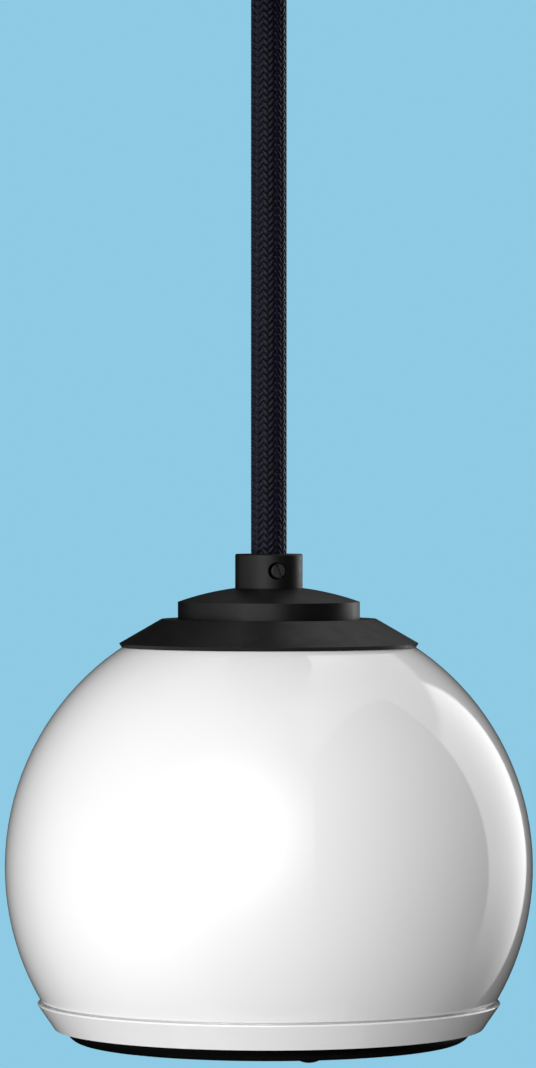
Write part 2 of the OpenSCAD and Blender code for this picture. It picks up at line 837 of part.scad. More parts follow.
// Rubber half roll between the cone's edge and the frame
module surround() {
    color([0.07, 0.07, 0.07]) at_driver() rotate_extrude() {
        difference() {
            translate([roll_mid_r, 0]) circle(r = roll_r);
            translate([roll_mid_r, 0]) circle(r = roll_r - surround_t);
            translate([0, 0]) square([big, big]);
        }
        for (r = [roll_mid_r - roll_r - lip_w, roll_mid_r + roll_r - surround_t])
            translate([r, -surround_t]) square([lip_w + surround_t, surround_t]);
    }
}

// Insulated lead from the cord to one solder tab
module inner_lead(side) {
    at_ball() rotate([0, 0, terminal_turn])
        sweep(smooth([for (p = inner_route) [p.x, side * p.y, p.z]], 2), lead_d, 8);
}

// Lead to the first solder tab
module inner_lead_red() {
    color("firebrick") inner_lead(1);
}

// Lead to the second solder tab
module inner_lead_black() {
    color([0.1, 0.1, 0.1]) inner_lead(-1);
}

// Textile cord, straight from the ceiling cup to the cord stop
module cord() {
    top = cup_cord_end_z + ball_drop;
    rings = ceil((top - cord_end_z) / (2.5 * cord_d));
    color([0.13, 0.13, 0.18]) at_ball()
        sweep([for (i = [0 : rings]) [0, 0, cord_end_z + (top - cord_end_z) * i / rings]], cord_d, 12);
}

// Ceiling cup: a plain drum, open at the ceiling
module ceiling_cup() {
    color([0.12, 0.12, 0.13]) difference() {
        rotate_extrude()
            difference() {
                translate([0, cup_foot_z]) square([cup_r, cup_h]);
                translate([-1, cup_floor_z]) square([cup_in_r + 1, cup_h]);
                translate([-1, cup_foot_z - 1]) square([tube_d / 2 + screw_gap + 1, cup_floor_t + 2]);
                translate([cup_r, cup_foot_z]) rotate(45) square(2, center = true);
            }
        for (side = [-1, 1])
            translate([side * (cup_in_r - 1), 0, side_screw_z])
                rotate([0, side * 90, 0])
                    cylinder(d = screw_d + 2 * screw_gap, h = cup_wall + 2);
    }
}

// Steel strap on the ceiling, with bent ends for the side screws
module ceiling_bracket() {
    color("silver") difference() {
        union() {
            translate([-tab_face_x, -bracket_w / 2, -bracket_t])
                cube([2 * tab_face_x, bracket_w, bracket_t]);
            for (side = [-1, 1])
                translate([side * (tab_face_x - bracket_t / 2), 0, -bracket_tab_h / 2])
                    cube([bracket_t, bracket_w, bracket_tab_h], center = true);
        }
        for (side = [-1, 1]) {
            translate([side * ceiling_hole_pitch / 2, 0, -bracket_t - 1])
                cylinder(d = ceiling_hole_d, h = bracket_t + 2);
            translate([side * (tab_face_x - bracket_t - 1), 0, side_screw_z])
                rotate([0, side * 90, 0])
                    cylinder(d = screw_d + 2 * thread_gap, h = bracket_t + 2);
        }
        translate([0, 0, -bracket_t - 1]) cylinder(d = screw_d + 2 * thread_gap, h = bracket_t + 2);
    }
}

// Two screws through the cup's side into the bracket
module cup_side_screws() {
    color("silver") for (side = [-1, 1])
        translate([side * (cup_r + seat_gap), 0, side_screw_z])
            rotate([0, -side * 90, 0])
                pan_screw(side_screw_l);
}

// Cord grip below the ceiling cup
module cup_grip() {
    color([0.12, 0.12, 0.13]) translate([0, 0, cup_foot_z]) mirror([0, 0, 1]) grip_body();
}

// Set screw of the grip below the ceiling cup
module cup_grip_screw() {
    color([0.2, 0.2, 0.2]) translate([0, 0, cup_foot_z]) mirror([0, 0, 1]) set_screw();
}

// Threaded tube through the cup's floor
module cup_tube() {
    color("gainsboro") tube(tube_d / 2, tube_bore_d / 2, cup_tube_z, cup_tube_l);
}

// Nut on the cup's floor
module cup_nut() {
    color("silver") translate([0, 0, cup_floor_z]) tube_nut_body();
}

// Places of the two poles of the terminal block
module at_poles() {
    for (side = [-1, 1])
        translate([side * block_l / 4, 0, 0]) children();
}

// Terminal block under the bracket, with a through hole for each lead and one for each screw
module terminal_block() {
    color("ivory") difference() {
        translate([-block_l / 2, -block_w / 2, block_z]) cube([block_l, block_w, block_h]);
        translate([0, 0, block_z - 1]) cylinder(d = screw_head_d + 0.4, h = 3.5);
        translate([0, 0, block_z - 1]) cylinder(d = screw_d + 2 * screw_gap, h = block_h + 2);
        at_poles() {
            translate([0, 0, block_z - 1]) cylinder(d = lead_d + 0.4, h = block_h);
            translate([0, -block_w, block_z + block_h / 2])
                rotate([-90, 0, 0])
                    cylinder(d = screw_d + 2 * thread_gap, h = block_w);
        }
    }
}

// Screw that holds the terminal block to the bracket
module block_screw() {
    color("silver") translate([0, 0, block_z + 2.5]) pan_screw(block_h - 1.4);
}

// Clamping screws of the terminal block
module block_clamp_screws() {
    color("goldenrod") at_poles()
        translate([0, -block_w / 2 + 0.3, block_z + block_h / 2])
            rotate([-90, 0, 0])
                difference() {
                    cylinder(d = screw_d, h = block_w / 2 - 0.3 - lead_d / 2 - seat_gap);
                    cube([screw_slot_w, screw_d * 2, screw_slot_h * 2], center = true);
                }
}

// Bare ends of the cord's leads, from its end into the terminal block
module cup_leads() {
    bend = block_l / 4;
    rise = block_z - cup_cord_end_z;
    color("firebrick") for (side = [-1, 1])
        translate([0, 0, cup_cord_end_z])
            sweep(smooth([[side * 1.6, 0, seat_gap + 0.2], [side * 1.9, 0, rise * 0.35], [side * (bend - 0.6), 0, rise * 0.7],
                [side * bend, 0, rise + 0.8], [side * bend, 0, rise + block_h * 0.75]], 3), lead_d, 8);
}

ball_shell();
trim_ring();
grille();
grille_stud();
collar();
cap();
cord_grip();
grip_screw();
threaded_tube();
clamp_plate();
tube_washer();
tube_nut();
cord_stop();
cord_stop_screw();
wadding();
frame_gasket();
driver_screw_set();
driver_basket();
terminal_strip();
terminal_tabs();
tinsel_leads();
front_plate();
magnet();
back_plate();
coil_former();
voice_coil();
spider();
cone();
dust_cap();
surround();
inner_lead_red();
inner_lead_black();
cord();
ceiling_cup();
ceiling_bracket();
cup_side_screws();
cup_grip();
cup_grip_screw();
cup_tube();
cup_nut();
terminal_block();
block_screw();
block_clamp_screws();
cup_leads();
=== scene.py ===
import math

import bpy
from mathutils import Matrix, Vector


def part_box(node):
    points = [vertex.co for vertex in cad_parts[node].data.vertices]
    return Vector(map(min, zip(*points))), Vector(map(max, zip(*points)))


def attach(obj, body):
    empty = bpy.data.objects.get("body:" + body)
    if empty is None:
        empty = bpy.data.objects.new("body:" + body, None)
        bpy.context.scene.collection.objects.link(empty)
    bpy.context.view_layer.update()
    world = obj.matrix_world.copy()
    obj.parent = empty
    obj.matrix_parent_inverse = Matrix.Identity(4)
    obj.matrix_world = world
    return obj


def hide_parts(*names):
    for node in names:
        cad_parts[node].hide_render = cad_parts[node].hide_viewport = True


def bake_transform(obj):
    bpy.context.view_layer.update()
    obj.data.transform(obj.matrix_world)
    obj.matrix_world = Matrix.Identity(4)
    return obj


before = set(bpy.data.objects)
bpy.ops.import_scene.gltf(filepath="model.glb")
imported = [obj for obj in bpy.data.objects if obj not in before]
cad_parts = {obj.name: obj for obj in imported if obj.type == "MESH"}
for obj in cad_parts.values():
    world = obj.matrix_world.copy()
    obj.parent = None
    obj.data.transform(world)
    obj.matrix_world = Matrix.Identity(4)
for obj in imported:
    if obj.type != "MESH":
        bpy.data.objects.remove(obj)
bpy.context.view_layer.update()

# Lengths are metres, and one named MM turns millimetres into them
MM = 0.001

# The cord's radius and the heights of flat faces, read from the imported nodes
CORD_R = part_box("cord")[1][0]
CORD_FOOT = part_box("cord")[0][2]
CORD_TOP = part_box("cord")[1][2]
CAP_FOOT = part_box("cap")[0][2]
BALL_MIDDLE = CAP_FOOT - 47.83 * MM

# The photograph's camera looks straight ahead, with the ball below the optical axis
PHOTO_HEIGHT_PX = 1068
PHOTO_WIDTH_PX = 536
HORIZON_PX = 490.5
AXIS_PX = 268.85
FOCAL_PX = 5090
MM_PER_PX = 0.19336
BALL_PX = 866.15
SENSOR_MM = 36
NEAREST = 0.05

SMOOTH = {"interpolation_type": "SMOOTHSTEP"}


def linear(hex_colour):
    """Linear colour, with alpha, of an sRGB hex colour."""
    parts = [int(hex_colour[i : i + 2], 16) / 255 for i in (1, 3, 5)]
    return [c / 12.92 if c <= 0.04045 else ((c + 0.055) / 1.055) ** 2.4 for c in parts] + [1.0]


def connect(tree, value, socket):
    """Gives a socket its value: a node's first output, one output, or a plain value."""
    if isinstance(value, bpy.types.Node):
        value = value.outputs[0]
    if isinstance(value, bpy.types.NodeSocket):
        tree.links.new(value, socket)
    else:
        socket.default_value = value


def add(tree, kind, *inputs, sockets=None, **settings):
    """Adds a node: inputs for its first sockets, sockets for others by name or place, then its settings."""
    node = tree.nodes.new("ShaderNode" + kind)
    for name, value in settings.items():
        setattr(node, name, value)
    for key, value in [*enumerate(inputs), *(sockets or {}).items()]:
        connect(tree, value, node.inputs[key])
    return node


def material(name, colour, roughness, metallic=0.0, **extra):
    """A new material: its tree and its shader, with what is the same all over set on the shader itself."""
    mat = bpy.data.materials.new(name)
    mat.use_nodes = True
    shader = mat.node_tree.nodes["Principled BSDF"]
    shader.inputs["Base Color"].default_value = linear(colour)
    shader.inputs["Roughness"].default_value = roughness
    shader.inputs["Metallic"].default_value = metallic
    for key, value in extra.items():
        shader.inputs[key.replace("_", " ")].default_value = value
    return mat, mat.node_tree, shader


def grain(tree, size, detail=2.0, rough=0.5, stretch=(1.0, 1.0, 1.0)):
    """An uneven pattern on the object whose features are about size metres across."""
    at = add(tree, "TexCoord").outputs["Object"]
    at = add(tree, "VectorMath", at, stretch, operation="MULTIPLY")
    return add(tree, "TexNoise", at, sockets={"Scale": 1 / size, "Detail": detail, "Roughness": rough})


def emboss(tree, shader, height, depth, strength=1.0, socket="Normal"):
    """Raises the surface by depth metres where height is one."""
    relief = add(tree, "Bump", sockets={"Height": height, "Distance": depth, "Strength": strength})
    connect(tree, relief, shader.inputs[socket])


def vary_roughness(tree, shader, fac, low, high):
    """Roughness from low to high with a pattern."""
    connect(tree, add(tree, "MapRange", fac, 0.3, 0.7, low, high, **SMOOTH), shader.inputs["Roughness"])


def vary_colour(tree, shader, fac, dark, light):
    """Colour between two colours with a pattern."""
    mix = add(tree, "Mix", fac, sockets={6: linear(dark), 7: linear(light)}, data_type="RGBA")
    connect(tree, mix.outputs[2], shader.inputs["Base Color"])


# Materials

LACQUER_IOR = 1.5
# How far past the screw the painted shade round the tapped hole stays at its darkest, and where that painted
# shade ends
FULL_PAINTED_SHADE = 0.08 * MM
PAINTED_SHADE_END = 0.22 * MM
FOAM_CELL = 0.4 * MM
CLOTH_THREAD = 0.56 * MM
WIRE_PITCH = 0.77 * MM
# Filaments along and across one length of a strand
FILAMENTS = (1.2, 7.0, 1.0)


def gloss_white():
    """White lacquer under a clear coat: sharp reflections over a soft white, with a faint orange peel."""
    mat, tree, shader = material("gloss_white_lacquer", "#e4e4e4", 0.28, Coat_Weight=1.0,
                                 Coat_Roughness=0.02, Coat_IOR=LACQUER_IOR, Specular_IOR_Level=0.08)
    vary_colour(tree, shader, grain(tree, 30 * MM), "#e2e2e2", "#e6e6e6")
    emboss(tree, shader, grain(tree, 1.6 * MM, 1.0), 0.0012 * MM, socket="Coat Normal")
    return mat


def satin_black(name="satin_black_plastic", colour="#0a0a0b", roughness=0.4):
    """Moulded black plastic: spark-eroded grain that spreads each highlight."""
    mat, tree, shader = material(name, colour, roughness, Specular_IOR_Level=0.2)
    vary_roughness(tree, shader, grain(tree, 4 * MM), roughness - 0.04, roughness + 0.05)
    emboss(tree, shader, grain(tree, 0.22 * MM, 3.0, 0.6), 0.012 * MM)
    return mat


def satin_black_painted_tap_shade():
    """The same plastic, with painted shade in a ring round the grip's set screw, standing for the shade in
    the sunk mouth of the tapped hole.
    """
    mat = satin_black("satin_black_painted_tap_shade")
    tree = mat.node_tree
    shader = tree.nodes["Principled BSDF"]
    low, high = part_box("grip_screw")
    screw_r = (high[2] - low[2]) / 2
    middle = [(low[i] + high[i]) / 2 for i in range(3)]
    x, y, z = add(tree, "SeparateXYZ", add(tree, "NewGeometry")).outputs
    from_axis = add(tree, "CombineXYZ", x, 0.0, z)
    axis = (middle[0], 0.0, middle[2])
    away = add(tree, "VectorMath", from_axis, axis, operation="DISTANCE").outputs["Value"]
    front = add(tree, "MapRange", y, -1 * MM, 0.0, 1.0, 0.0, **SMOOTH)
    near = add(tree, "MapRange", away, screw_r + FULL_PAINTED_SHADE, screw_r + PAINTED_SHADE_END, 1.0, 0.0, **SMOOTH)
    # edge is the painted shade mask: one near the screw on the front of the grip, and nought elsewhere. There
    # the colour goes almost black and the gloss is taken away
    edge = add(tree, "Math", near, front, operation="MULTIPLY")
    vary_colour(tree, shader, edge, "#0a0a0b", "#010101")
    gloss = add(tree, "MapRange", edge, 0.0, 1.0, 0.2, 0.0, **SMOOTH)
    connect(tree, gloss, shader.inputs["Specular IOR Level"])
    return mat


def black_metal():
    """Black powder coat on perforated steel: dull, and a little pebbled."""
    mat, tree, shader = material("black_powder_coat", "#020202", 0.6, Specular_IOR_Level=0.04)
    vary_roughness(tree, shader, grain(tree, 2 * MM), 0.42, 0.58)
    emboss(tree, shader, grain(tree, 0.3 * MM, 3.0), 0.02 * MM)
    return mat


def zinc_steel():
    """Bright zinc plate on steel, with fine marks from turning and rolling."""
    mat, tree, shader = material("zinc_plated_steel", "#b9bab8", 0.3, 1.0)
    marks = grain(tree, 0.2 * MM, stretch=(1.0, 1.0, 6.0))
    vary_colour(tree, shader, grain(tree, 3 * MM), "#adaeab", "#c4c5c3")
    vary_roughness(tree, shader, marks, 0.24, 0.4)
    emboss(tree, shader, marks, 0.005 * MM)
    return mat


def black_paint():
    """Black stove enamel on pressed steel: half gloss, with a slight flow."""
    mat, tree, shader = material("black_stove_enamel", "#16161a", 0.38)
    vary_roughness(tree, shader, grain(tree, 2 * MM), 0.32, 0.46)
    emboss(tree, shader, grain(tree, 0.8 * MM), 0.01 * MM)
    return mat


def blackened_steel():
    """Black oxide on turned steel: a little brighter than the plastic round it."""
    mat, tree, shader = material("black_oxide_steel", "#333335", 0.5, 0.7)
    vary_roughness(tree, shader, grain(tree, 0.6 * MM), 0.42, 0.58)
    emboss(tree, shader, grain(tree, 0.2 * MM), 0.006 * MM)
    return mat


def ferrite():
    """Sintered ferrite: dark, grey and slightly pitted."""
    mat, tree, shader = material("ferrite", "#34343a", 0.7)
    vary_colour(tree, shader, grain(tree, 1.5 * MM, 4.0), "#2c2c30", "#3d3d43")
    emboss(tree, shader, grain(tree, 0.6 * MM, 4.0, 0.7), 0.04 * MM)
    return mat


def paper_black():
    """Pressed black paper pulp: matte, with short fibres."""
    mat, tree, shader = material("black_paper_pulp", "#1a1a1a", 0.85)
    fibres = grain(tree, 0.4 * MM, 5.0, 0.7)
    vary_colour(tree, shader, fibres, "#121212", "#262626")
    emboss(tree, shader, fibres, 0.04 * MM)
    return mat


def rubber_black():
    """Moulded butyl rubber: smooth, with a broad dull shine."""
    mat, tree, shader = material("butyl_rubber", "#131313", 0.55)
    vary_roughness(tree, shader, grain(tree, 2 * MM), 0.48, 0.62)
    emboss(tree, shader, grain(tree, 0.4 * MM), 0.008 * MM)
    return mat


def foam_black():
    """Open cell foam: small pits that catch no highlight."""
    mat, tree, shader = material("open_cell_foam", "#1c1c1c", 0.95)
    at = add(tree, "TexCoord").outputs["Object"]
    cells = add(tree, "TexVoronoi", at, sockets={"Scale": 1 / FOAM_CELL})
    emboss(tree, shader, cells, 0.2 * MM)
    return mat


def felt():
    """Loose off-white felt: long soft fibres."""
    mat, tree, shader = material("felt_wadding", "#cfccc2", 0.95, Sheen_Weight=0.4)
    fibres = grain(tree, 1.2 * MM, 6.0, 0.75)
    vary_colour(tree, shader, fibres, "#bdb9ad", "#dedbd2")
    emboss(tree, shader, fibres, 0.5 * MM)
    return mat


def spider_cloth():
    """Woven cloth stiffened with amber resin: a fine check of threads."""
    mat, tree, shader = material("resin_cloth", "#b08a4a", 0.6)
    at = add(tree, "TexCoord").outputs["Object"]
    weave = add(tree, "TexChecker", at, sockets={"Scale": 1 / CLOTH_THREAD}).outputs["Fac"]
    vary_colour(tree, shader, grain(tree, 2 * MM), "#a37c3c", "#bf9a5c")
    emboss(tree, shader, weave, 0.08 * MM)
    return mat


def copper():
    """Enamelled copper wire wound side by side: bright lines round the coil."""
    mat, tree, shader = material("enamelled_copper", "#b5622f", 0.25, 1.0)
    at = add(tree, "TexCoord").outputs["Object"]
    turns = add(tree, "TexWave", at, 1 / WIRE_PITCH, 0.2, bands_direction="Z").outputs["Fac"]
    emboss(tree, shader, turns, 0.05 * MM)
    return mat


def tab_brass():
    """Tinned brass: pale yellow, with patches of duller tin."""
    mat, tree, shader = material("tinned_brass", "#c2a560", 0.3, 1.0)
    vary_roughness(tree, shader, grain(tree, 0.8 * MM), 0.22, 0.42)
    return mat


def insulation(name, colour):
    """Extruded wire insulation: smooth and slightly waxy."""
    mat, tree, shader = material(name, colour, 0.35)
    vary_roughness(tree, shader, grain(tree, 2 * MM), 0.3, 0.42)
    emboss(tree, shader, grain(tree, 1 * MM), 0.01 * MM)
    return mat


def nylon():
    """Moulded natural nylon: milky, as light enters it a little."""
    mat, tree, shader = material("natural_nylon", "#ddd8c8", 0.45, Subsurface_Weight=0.15)
    vary_roughness(tree, shader, grain(tree, 2 * MM), 0.38, 0.52)
    emboss(tree, shader, grain(tree, 0.9 * MM), 0.01 * MM)
    return mat


def laminate():
    """Brown hard paper: pressed sheets whose edge shows fine layers."""
    mat, tree, shader = material("hard_paper_laminate", "#6b4527", 0.5)
    layers = grain(tree, 0.5 * MM, 4.0, stretch=(1.0, 1.0, 4.0))
    vary_colour(tree, shader, layers, "#5c3a20", "#7a5230")
    emboss(tree, shader, layers, 0.01 * MM)
    return mat


def amber_film():
    """Thin polyimide film rolled into the coil former: glossy and amber."""
    mat, tree, shader = material("amber_film", "#b9711c", 0.2, Coat_Weight=0.5)
    vary_roughness(tree, shader, grain(tree, 2 * MM), 0.15, 0.3)
    return mat


def braided_textile():
    """Blue-black polyester yarn: filaments along each strand, drawn coarser than real ones to show."""
    mat, tree, shader = material("braided_polyester", "#0c0c13", 0.42, Specular_IOR_Level=0.14,
                                 Sheen_Weight=0.18, Sheen_Roughness=0.35, Sheen_Tint=linear("#b8beff"))
    strand = add(tree, "UVMap", uv_map="strand")
    lengthways = add(tree, "VectorMath", strand, FILAMENTS, operation="MULTIPLY")
    filaments = add(tree, "TexNoise", lengthways, sockets={"Scale": 1.0, "Detail": 3.0, "Roughness": 0.6})
    sharper = add(tree, "Math", filaments, 1.6, operation="POWER")
    lit = add(tree, "MapRange", sharper, 0.2, 0.6, 0.0, 1.0, **SMOOTH)
    vary_colour(tree, shader, lit, "#020209", "#0d0f20")
    emboss(tree, shader, filaments, 0.12 * MM, 0.9)
    return mat


# Which material each node of the part has
LOOKS = {
    gloss_white: ["ball_shell", "trim_ring"],
    satin_black: ["collar", "cap", "ceiling_cup", "cup_grip"],
    # The cord grip's plastic carries painted shade round its set screw's hole
    satin_black_painted_tap_shade: ["cord_grip"],
    black_metal: ["grille", "grille_stud"],
    blackened_steel: ["grip_screw", "cup_grip_screw", "cup_side_screws", "driver_screw_set"],
    zinc_steel: ["threaded_tube", "clamp_plate", "tube_washer", "tube_nut", "cord_stop_screw",
                 "front_plate", "back_plate", "ceiling_bracket", "cup_tube", "cup_nut", "block_screw"],
    black_paint: ["driver_basket"],
    ferrite: ["magnet"],
    paper_black: ["cone", "dust_cap"],
    foam_black: ["frame_gasket"],
    felt: ["wadding"],
    copper: ["voice_coil"],
    tab_brass: ["terminal_tabs", "block_clamp_screws"],
    nylon: ["cord_stop", "terminal_block"],
    laminate: ["terminal_strip"],
    amber_film: ["coil_former"],
}


def dress(node, mat):
    """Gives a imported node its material."""
    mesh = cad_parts[node].data
    mesh.materials.clear()
    mesh.materials.append(mat)


def new_piece(name, verts, faces, mat, body="frame", uvs=None):
    """A mesh object with smooth faces, riding on a body. uvs has one pair for each corner of each face."""
    mesh = bpy.data.meshes.new(name)
    mesh.from_pydata(verts, [], faces)
    if uvs:
        layer = mesh.uv_layers.new(name="strand")
        for loop, pair in zip(layer.data, uvs):
            loop.uv = pair
    mesh.shade_smooth()
    mesh.materials.append(mat)
    piece = bpy.data.objects.new(name, mesh)
    bpy.context.collection.objects.link(piece)
    if body:
        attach(piece, body)
    return piece


# Camera


def photo_camera():
    """The photograph's camera, level with a point above the ball."""
    data = bpy.data.cameras.new("photo_camera")
    data.sensor_fit = "VERTICAL"
    data.sensor_height = SENSOR_MM
    data.lens = SENSOR_MM * FOCAL_PX / PHOTO_HEIGHT_PX
    data.shift_y = HORIZON_PX / PHOTO_HEIGHT_PX - 0.5
    data.clip_start = NEAREST
    camera = bpy.data.objects.new("photo_camera", data)
    bpy.context.collection.objects.link(camera)
    camera.location = (-(AXIS_PX - PHOTO_WIDTH_PX / 2) * MM_PER_PX * MM,
                       -FOCAL_PX * MM_PER_PX * MM,
                       BALL_MIDDLE + (BALL_PX - HORIZON_PX) * MM_PER_PX * MM)
    camera.rotation_euler = (math.pi / 2, 0, 0)
    bpy.context.scene.camera = camera


# The braided cord

CARRIERS = 32
PICK = 0.675 * MM
BRAID_SWING = 0.15 * MM
STRAND_T = 0.44 * MM
STRAND_SIDES = 8
STEPS_PER_PICK = 2
STRAND_FILL = 0.5
FLOAT_FLATNESS = 1.35
CORE_SIDES = 32
# How far the filament pattern moves on, in strand lengths, from one strand and one hand to the next
STRAND_SHIFT = 13.7
HAND_SHIFT = 5.3


def strand_wave(column):
    """How far out a strand lies, from -1 to 1: over two crossings and under the next two."""
    return max(-1.0, min(1.0, FLOAT_FLATNESS * math.sin(math.pi * column / 2)))


def braid_strands():
    """The corners, faces and strand coordinates of the strands, in two hands that wind opposite ways."""
    verts, faces, uvs = [], [], []
    length = CORD_TOP - CORD_FOOT
    picks = round(length / PICK)
    pick = length / picks
    column = 2 * math.pi / CARRIERS
    mid_r = CORD_R - BRAID_SWING - STRAND_T / 2
    half_w = STRAND_FILL * column * CORD_R * math.sqrt(2)
    rings = picks * STEPS_PER_PICK + 1
    for hand in (1, -1):
        for start in range(CARRIERS // 2):
            base = len(verts)
            for i in range(rings):
                k = i / STEPS_PER_PICK
                at = 2 * start + 0.5 + hand * k
                r = mid_r + hand * BRAID_SWING * strand_wave(at)
                lean = math.atan2(pick, hand * column * r)
                for s in range(STRAND_SIDES):
                    a = 2 * math.pi * (s + 0.5) / STRAND_SIDES
                    across = half_w * math.cos(a)
                    out = r + STRAND_T / 2 * math.sin(a)
                    turn = at * column - across * math.sin(lean) / r
                    z = CORD_FOOT + k * pick + across * math.cos(lean)
                    z = min(max(z, CORD_FOOT), CORD_TOP)
                    verts.append((out * math.sin(turn), -out * math.cos(turn), z))
            for i in range(rings - 1):
                for s in range(STRAND_SIDES):
                    low = base + i * STRAND_SIDES
                    a, b = low + s, low + (s + 1) % STRAND_SIDES
                    faces.append((a, b, b + STRAND_SIDES, a + STRAND_SIDES))
                    u = i / STEPS_PER_PICK + STRAND_SHIFT * start + HAND_SHIFT * hand
                    v = s / STRAND_SIDES
                    uvs += [(u, v), (u, v + 1 / STRAND_SIDES), (u + 1 / STEPS_PER_PICK, v + 1 / STRAND_SIDES),
                            (u + 1 / STEPS_PER_PICK, v)]
    return verts, faces, uvs


def braided_cord(mat):
    """A tubular braid of 32 strands, modelled strand by strand, over a plain round core."""
    verts, faces, uvs = braid_strands()
    base = len(verts)
    core_r = CORD_R - 2 * BRAID_SWING - STRAND_T / 2
    turns = [2 * math.pi * i / CORE_SIDES for i in range(CORE_SIDES)]
    for z in (CORD_FOOT, CORD_TOP):
        verts += [(core_r * math.cos(a), core_r * math.sin(a), z) for a in turns]
    low = [base + i for i in range(CORE_SIDES)]
    high = [i + CORE_SIDES for i in low]
    walls = [(low[i - 1], low[i], high[i], high[i - 1]) for i in range(CORE_SIDES)]
    ends = [tuple(reversed(low)), tuple(high)]
    faces += walls + ends
    uvs += [(0.0, 0.0)] * (4 * len(walls) + sum(len(end) for end in ends))
    cord = new_piece("braided_cord", verts, faces, mat, uvs=uvs)
    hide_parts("cord")


# Soft parts between the frame and the moving coil, built in their rest shape

SECTORS = 12
SECTOR_STEPS = 8
# Sizes in mm, with heights counted up from the face of the frame, and the leads' turn in degrees
ROLL_MID, ROLL_R, ROLL_T, ROLL_LIP = 28.0, 2.6, 0.5, 1.4
SPIDER_IN, SPIDER_WAVES_END, SPIDER_OUT = 10.0, 20.7, 22.5
SPIDER_WAVES, SPIDER_WAVE_H, SPIDER_T = 5, 0.8, 0.4
TINSEL_D, TINSEL_TURN = 0.8, 45
TINSEL_ROUTE = [(31.1, 9), (29, 9), (26, 8.6), (22, 7), (19, 5.6)]
TINSEL_SIDE = 3.5
# Steps and sides of the curves
ROLL_STEPS, WAVE_STEPS, TINSEL_STEPS, TINSEL_SIDES = 24, 12, 6, 12


def surround_outline():
    """Section of the rubber surround in mm: a half roll that hangs down between two glued lips."""
    angles = [math.pi * i / ROLL_STEPS for i in range(ROLL_STEPS + 1)]
    outer, inner = [[(ROLL_MID + r * math.cos(a), -r * math.sin(a)) for a in angles]
                    for r in (ROLL_R, ROLL_R - ROLL_T)]
    low, high = ROLL_MID - ROLL_R - ROLL_LIP, ROLL_MID + ROLL_R + ROLL_LIP
    under = [point for point in outer if point[1] < -ROLL_T]
    return ([(high, 0), (high, -ROLL_T)] + under + [(low, -ROLL_T), (low, 0)] + inner[::-1])


def spider_outline():
    """Section of the waved cloth in mm, from the former out to the frame's ledge."""
    steps = SPIDER_WAVES * WAVE_STEPS
    line = []
    for i in range(steps + 1):
        r = SPIDER_IN + (SPIDER_WAVES_END - SPIDER_IN) * i / steps
        line.append((r, -SPIDER_WAVE_H * math.sin(2 * math.pi * SPIDER_WAVES * i / steps)))
    line.append((SPIDER_OUT, 0))
    return [(r, z + SPIDER_T / 2) for r, z in line] + [(r, z - SPIDER_T / 2) for r, z in reversed(line)]


def tube_faces(steps, sides):
    """Faces of a closed tube of steps lengths, whose corners lie ring by ring, with sides to a ring."""
    faces = []
    for i in range(steps):
        for j in range(sides):
            low, next_low = i * sides + j, i * sides + (j + 1) % sides
            faces.append((low, next_low, next_low + sides, low + sides))
    return faces + [tuple(reversed(range(sides))), tuple(steps * sides + j for j in range(sides))]


def soft_ring(node, outline, level, mat):
    """A ring in separate sectors, each reaching along its own radius between the frame and the coil."""
    count = len(outline)
    for k in range(SECTORS):
        first = 2 * math.pi * k / SECTORS
        turns = [first + 2 * math.pi / SECTORS * i / SECTOR_STEPS for i in range(SECTOR_STEPS + 1)]
        verts = [(r * MM * math.cos(a), r * MM * math.sin(a), level + z * MM)
                 for a in turns for r, z in outline]
        faces = tube_faces(SECTOR_STEPS, count)
        piece = new_piece(f"{node}_{k + 1:02d}", verts, faces, mat, body=None)
        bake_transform(piece)
        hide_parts(node)


def tinsel_lead(side, face, mat):
    """One plaited copper lead, from its tab on the frame to the back of the cone."""
    turn = math.radians(TINSEL_TURN)
    out, across = Vector((math.cos(turn), math.sin(turn), 0)), Vector((-math.sin(turn), math.cos(turn), 0))
    points = [out * r * MM + across * side * TINSEL_SIDE * MM + Vector((0, 0, face + z * MM))
              for r, z in smooth_line(TINSEL_ROUTE, TINSEL_STEPS)]
    verts, sides = [], TINSEL_SIDES
    for i, point in enumerate(points):
        along = (points[min(i + 1, len(points) - 1)] - points[max(i - 1, 0)]).normalized()
        up = along.cross(across).normalized()
        for s in range(sides):
            a = 2 * math.pi * s / sides
            verts.append(point + (across * math.cos(a) + up * math.sin(a)) * TINSEL_D / 2 * MM)
    faces = tube_faces(len(points) - 1, sides)
    piece = new_piece("tinsel_lead_left" if side < 0 else "tinsel_lead_right", verts, faces, mat, body=None)
    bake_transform(piece)
    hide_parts("tinsel_leads")


def smooth_line(route, steps):
    """Points on a smooth curve through all the points of a route in a plane."""
    line = []
    for i in range(len(route) - 1):
        a, b = route[max(i - 1, 0)], route[i]
        c, d = route[i + 1], route[min(i + 2, len(route) - 1)]
        for k in range(steps):
            t = k / steps
            line.append(tuple(0.5 * (2 * b[j] + (c[j] - a[j]) * t
                                     + (2 * a[j] - 5 * b[j] + 4 * c[j] - d[j]) * t ** 2
                                     + (3 * b[j] - a[j] - 3 * c[j] + d[j]) * t ** 3) for j in (0, 1)))
    return line + [route[-1]]


def soft_parts(copper_mat):
    """The surround, the spider and the two tinsel leads."""
    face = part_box("surround")[1][2]
    spider_low, spider_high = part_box("spider")
    spider_level = (spider_low[2] + spider_high[2]) / 2
    soft_ring("surround", surround_outline(), face, rubber_black())
    soft_ring("spider", spider_outline(), spider_level, spider_cloth())
    for side in (-1, 1):
        tinsel_lead(side, face, copper_mat)


# World and floor

SKY = "#8ecae4"
# Each light: turn to the right from the camera, rise, reach to its edge in degrees, and strength
BOX_LIGHTS = [(-15, 20, 45, 3.9), (-15, 5, 45, 1.0), (-15, 20, 75, 0.45), (-45, -15, 45, 0.7),
              (-60, -18, 45, 1.2), (-90, -12, 45, 0.7)]
BACK_LIGHTS = [(168, 64, 24, 1.4), (163, 38, 34, 0.38)]
